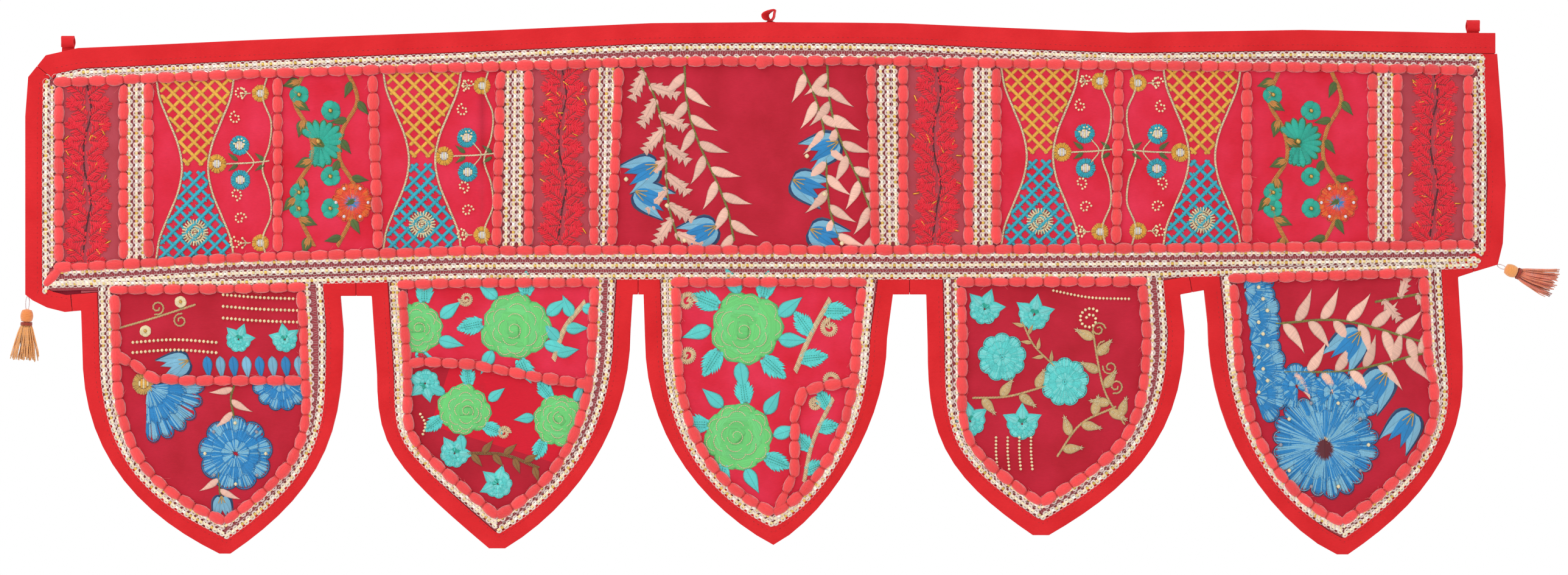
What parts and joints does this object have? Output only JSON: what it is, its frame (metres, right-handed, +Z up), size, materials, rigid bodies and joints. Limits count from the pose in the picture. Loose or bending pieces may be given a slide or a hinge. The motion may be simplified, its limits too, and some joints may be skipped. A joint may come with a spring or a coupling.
{
  "type": "toran door hanging",
  "caption": "Patched and embroidered cloth toran with bound edges, pointed pennants, couched yarn, lace braid, hanging loops and corner tassels, for the top of a doorway.",
  "frame": {"origin": "middle of the bound top edge", "axes": "+X to the right along the band as the viewer sees it, -Y out of the front, +Z up"},
  "size_m": [1.0681, 0.0161, 0.3746],
  "materials": {
    "backing_cloth": "plain maroon cotton under the lace",
    "red_binding": "plain weave cotton binding with a running stitch",
    "brocade_patch": "woven and embroidered sari border",
    "sheer_patch": "sheer crimson cloth with leaf sprays and bugle beads",
    "lattice_patch": "embroidered lattice in yellow, teal and gold thread",
    "lace_braid": "cream, silver and gold gimp braid",
    "roving_yarn": "soft coral yarn couched in puffs",
    "loop_tape": "folded cotton tape",
    "tassel_yarn": "orange and pink yarn, loosely spun"
  },
  "bodies": {
    "root": {"band_ground": "backing_cloth", "lace_left": "lace_braid", "patch_sheer_1": "sheer_patch", "lace_1": "lace_braid", "patch_lattice_1": "lattice_patch", "patch_flower_1": "brocade_patch", "patch_lattice_2": "lattice_patch", "lace_2": "lace_braid", "patch_sheer_2": "sheer_patch", "lace_3": "lace_braid", "patch_centre": "brocade_patch", "lace_4": "lace_braid", "patch_sheer_3": "sheer_patch", "lace_5": "lace_braid", "patch_lattice_3": "lattice_patch", "patch_lattice_4": "lattice_patch", "patch_flower_2": "brocade_patch", "lace_6": "lace_braid", "patch_sheer_4": "sheer_patch", "lace_right": "lace_braid", "lace_top": "lace_braid", "lace_bottom": "lace_braid", "band_roving": "roving_yarn", "pennant_1_ground": "backing_cloth", "pennant_1_lace": "lace_braid", "pennant_1_patch_1": "brocade_patch", "pennant_1_patch_2": "brocade_patch", "pennant_1_roving": "roving_yarn", "pennant_2_ground": "backing_cloth", "pennant_2_lace": "lace_braid", "pennant_2_patch_1": "brocade_patch", "pennant_2_patch_2": "brocade_patch", "pennant_2_roving": "roving_yarn", "pennant_3_ground": "backing_cloth", "pennant_3_lace": "lace_braid", "pennant_3_patch_1": "brocade_patch", "pennant_3_patch_2": "brocade_patch", "pennant_3_roving": "roving_yarn", "pennant_4_ground": "backing_cloth", "pennant_4_lace": "lace_braid", "pennant_4_patch_1": "brocade_patch", "pennant_4_roving": "roving_yarn", "pennant_5_ground": "backing_cloth", "pennant_5_lace": "lace_braid", "pennant_5_patch_1": "brocade_patch", "pennant_5_roving": "roving_yarn", "binding_top": "red_binding", "binding_left": "red_binding", "binding_right": "red_binding", "binding_pennant_1": "red_binding", "binding_pennant_2": "red_binding", "binding_pennant_3": "red_binding", "binding_pennant_4": "red_binding", "binding_pennant_5": "red_binding", "loop_left": "loop_tape", "loop_centre": "loop_tape", "loop_right": "loop_tape", "tassel_left": "tassel_yarn", "tassel_right": "tassel_yarn"}
  },
  "joints": []
}
